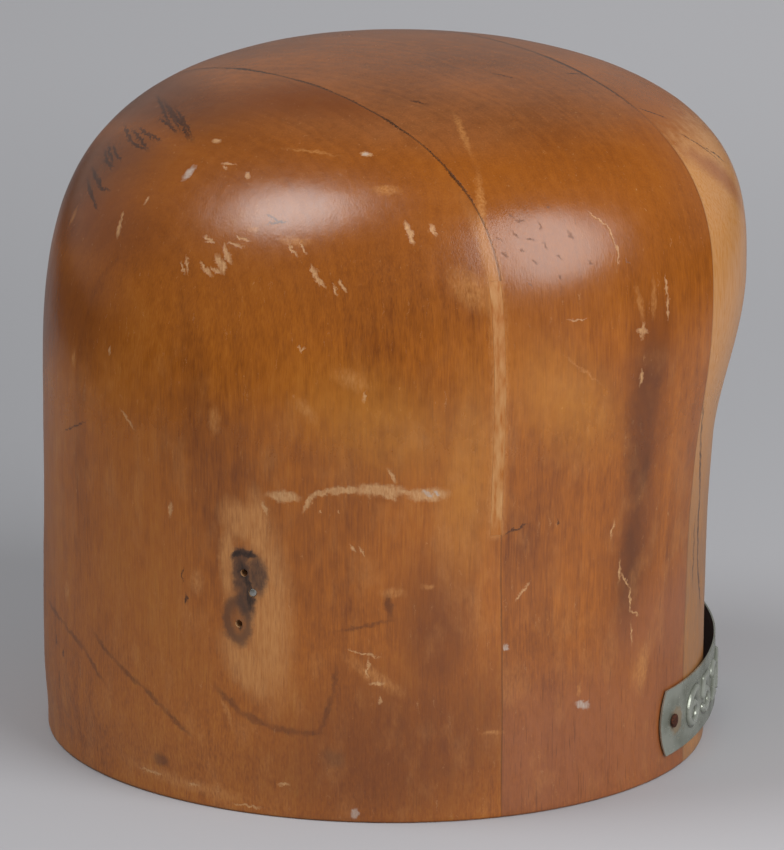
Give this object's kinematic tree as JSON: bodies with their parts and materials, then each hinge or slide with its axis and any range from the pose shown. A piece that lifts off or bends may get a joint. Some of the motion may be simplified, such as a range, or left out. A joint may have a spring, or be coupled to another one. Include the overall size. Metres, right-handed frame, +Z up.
{
  "type": "hat block",
  "caption": "Wooden hat block: a domed head form of glued planks, hollowed at the nape, with a tin size plate tacked to its base.",
  "frame": {"origin": "middle of the object's box at the bottom, on the surface that the block stands on", "axes": "+Z up; +Y towards the back of the head, across the plank joints; +X towards the block's right side, along the joints"},
  "size_m": [0.192, 0.1856, 0.183],
  "materials": {
    "shellacked_wood": "worn amber shellac over close-grained wood, semi-gloss",
    "dowel_wood": "bare, dry",
    "wood_putty": "matt filler of wood dust and glue",
    "tinplate": "dulled grey-green tin",
    "rusty_iron": "brown rust",
    "bright_steel": "worn bright"
  },
  "bodies": {
    "root": {"front_plank": "shellacked_wood", "middle_plank": "shellacked_wood", "back_plank": "shellacked_wood", "front_dowel_left": "dowel_wood", "front_dowel_right": "dowel_wood", "back_dowel_left": "dowel_wood", "back_dowel_right": "dowel_wood", "seam_filler": "wood_putty", "size_plate": "tinplate", "plate_tack": "rusty_iron", "side_brad": "bright_steel"}
  },
  "joints": []
}
